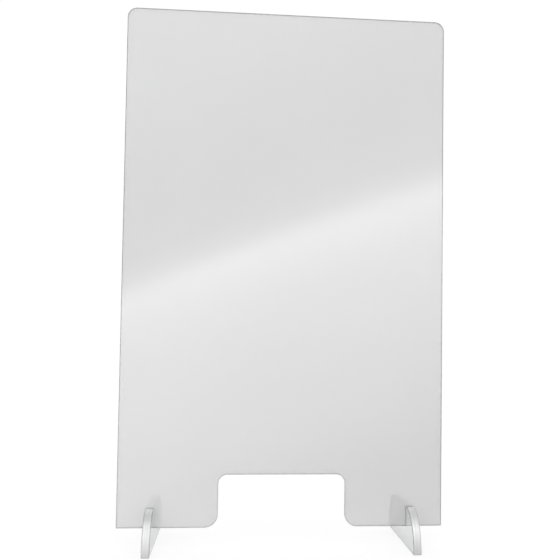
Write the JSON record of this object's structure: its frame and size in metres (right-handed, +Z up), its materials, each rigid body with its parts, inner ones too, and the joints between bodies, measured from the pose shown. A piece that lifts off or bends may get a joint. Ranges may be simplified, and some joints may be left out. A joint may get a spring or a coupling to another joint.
{
  "type": "sneeze guard",
  "caption": "Clear upright countertop screen with a pass-through in its lower edge, standing in slotted clear plate feet.",
  "frame": {"origin": "on the counter, at the centre of the rectangle that the feet and panel cover seen from above", "axes": "+X across the panel to the right seen from the side of the short rounded foot fronts, +Y towards the long flat foot backs, +Z up"},
  "size_m": [0.5, 0.2056, 0.8303],
  "materials": {
    "clear_sheet": "clear cast acrylic sheet, polished faces, smooth cut edges",
    "clear_plate": "clear cast acrylic plate, polished faces, smooth cut edges and slot walls"
  },
  "bodies": {
    "feet": {"left_foot": "clear_plate", "right_foot": "clear_plate"},
    "panel": {"screen_panel": "clear_sheet"}
  },
  "joints": [
    {"name": "panel_lift_out", "type": "slide", "parent": "feet", "child": "panel", "axis": [0, 0, 1], "range_m": [0, 0.035]}
  ]
}
